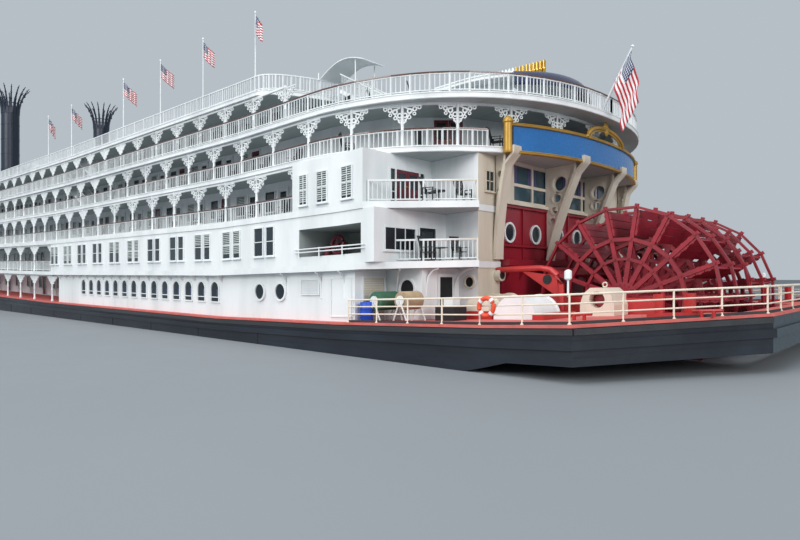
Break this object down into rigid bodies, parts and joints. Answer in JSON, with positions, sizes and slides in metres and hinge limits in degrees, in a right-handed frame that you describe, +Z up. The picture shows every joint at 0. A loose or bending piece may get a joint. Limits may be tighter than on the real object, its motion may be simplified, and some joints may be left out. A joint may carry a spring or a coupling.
{
  "type": "scale model of a sternwheel paddle boat, 1:10",
  "caption": "Sternwheel river boat at 1:10: flat hull, stacked colonnaded decks, red paddle wheel in a stern well, rudders, hinged chimneys and swinging landing stages.",
  "frame": {"origin": "amidships on the centreline, at the flat bottom of the hull", "axes": "+X towards the bow, +Y to port, +Z up"},
  "size_m": [12.764, 2.744, 3.23],
  "materials": {
    "hull_black": "semi-gloss blue-black paint",
    "deck_red": "matt deck paint",
    "white_paint": "satin white paint",
    "cream_paint": "satin cream paint",
    "bulkhead_red": "gloss dark red paint",
    "wheel_red": "gloss crimson paint",
    "gear_red": "gloss red paint",
    "sign_blue": "gloss blue enamel",
    "gilt": "gilt paint",
    "stack_navy": "semi-gloss navy paint",
    "machine_steel": "machined grey",
    "door_maroon": "satin maroon paint"
  },
  "bodies": {
    "boat": {"hull": "hull_black", "main_deck": "deck_red", "main_house": "white_paint", "steam_engine": "machine_steel", "engine_bulkhead": "bulkhead_red", "saloon_window_frame": "cream_paint", "sign_board": "sign_blue", "sign_frame": "gilt", "calliope_house": "white_paint", "texas_house": "white_paint", "pilothouse": "white_paint", "pilothouse_roof": "white_paint", "jackstaff": "white_paint", "railing_after_deck": "white_paint", "railing_five": "white_paint", "railing_six": "white_paint", "deck_two": "white_paint", "deck_three": "white_paint", "deck_four": "white_paint", "deck_five": "white_paint", "deck_six": "white_paint", "deckhouse_two": "white_paint", "deckhouse_three": "white_paint", "deckhouse_four": "white_paint", "deckhouse_five": "white_paint", "stern_cabins_two": "white_paint", "stern_cabins_three": "white_paint", "colonnade_five_bow": "white_paint", "colonnade_main": "white_paint", "colonnade_two": "white_paint", "colonnade_three": "white_paint", "colonnade_four": "white_paint", "colonnade_five_port": "white_paint", "colonnade_five_starboard": "white_paint", "knee_port_outer": "cream_paint", "knee_port_inner": "cream_paint", "knee_starboard_outer": "cream_paint", "knee_starboard_inner": "cream_paint", "cylinder_timber_port": "gear_red", "cylinder_timber_starboard": "gear_red", "bitts_port": "gear_red", "bitts_starboard": "gear_red", "reel_cover_port": "cream_paint", "reel_cover_starboard": "cream_paint", "chimney_base_port": "stack_navy", "chimney_base_starboard": "stack_navy"},
    "wheel": {"paddle_wheel_port": "wheel_red", "paddle_wheel_starboard": "wheel_red", "wheel_shaft": "wheel_red"},
    "rudder_port": {"rudder_port": "hull_black"},
    "engine_room_door_port": {"engine_room_door_port": "door_maroon"},
    "chimney_port": {"chimney_port": "stack_navy"},
    "stage_turntable_port": {"stage_turntable_port": "gear_red"},
    "landing_stage_port": {"landing_stage_port": "white_paint"},
    "rudder_starboard": {"rudder_starboard": "hull_black"},
    "engine_room_door_starboard": {"engine_room_door_starboard": "door_maroon"},
    "chimney_starboard": {"chimney_starboard": "stack_navy"},
    "stage_turntable_starboard": {"stage_turntable_starboard": "gear_red"},
    "landing_stage_starboard": {"landing_stage_starboard": "white_paint"}
  },
  "joints": [
    {"name": "wheel_spin", "type": "hinge", "parent": "boat", "child": "wheel", "pos_m": [-5.74, 0, 0.51], "axis": [0, 1, 0], "continuous": true},
    {"name": "rudder_port_turn", "type": "hinge", "parent": "boat", "child": "rudder_port", "pos_m": [-5.06, 0.32, 0.1], "axis": [0, 0, 1], "range_deg": [-40, 40]},
    {"name": "engine_room_door_port_swing", "type": "hinge", "parent": "boat", "child": "engine_room_door_port", "pos_m": [-5.11465, 1.016, 0.48], "axis": [0, 0, -1], "range_deg": [0, 95]},
    {"name": "chimney_port_fold", "type": "hinge", "parent": "boat", "child": "chimney_port", "pos_m": [2.77, 0.61, 1.88009], "axis": [0, -1, 0], "range_deg": [0, 80]},
    {"name": "stage_port_swing", "type": "hinge", "parent": "boat", "child": "stage_turntable_port", "pos_m": [5.4, 0.64, 0.55], "axis": [0, 0, 1], "range_deg": [0, 100]},
    {"name": "stage_port_luff", "type": "hinge", "parent": "stage_turntable_port", "child": "landing_stage_port", "pos_m": [5.4, 0.64, 0.62748], "axis": [0, 1, 0], "range_deg": [0, 58]},
    {"name": "rudder_starboard_turn", "type": "hinge", "parent": "boat", "child": "rudder_starboard", "pos_m": [-5.06, -0.32, 0.1], "axis": [0, 0, 1], "range_deg": [-40, 40]},
    {"name": "engine_room_door_starboard_swing", "type": "hinge", "parent": "boat", "child": "engine_room_door_starboard", "pos_m": [-5.11465, -1.016, 0.48], "axis": [0, 0, 1], "range_deg": [0, 95]},
    {"name": "chimney_starboard_fold", "type": "hinge", "parent": "boat", "child": "chimney_starboard", "pos_m": [2.77, -0.61, 1.88009], "axis": [0, -1, 0], "range_deg": [0, 80]},
    {"name": "stage_starboard_swing", "type": "hinge", "parent": "boat", "child": "stage_turntable_starboard", "pos_m": [5.4, -0.64, 0.55], "axis": [0, 0, -1], "range_deg": [0, 100]},
    {"name": "stage_starboard_luff", "type": "hinge", "parent": "stage_turntable_starboard", "child": "landing_stage_starboard", "pos_m": [5.4, -0.64, 0.62748], "axis": [0, 1, 0], "range_deg": [0, 58]}
  ],
  "couplings": [
    {"joint": "rudder_starboard_turn", "follows": "rudder_port_turn", "ratio": 1}
  ]
}
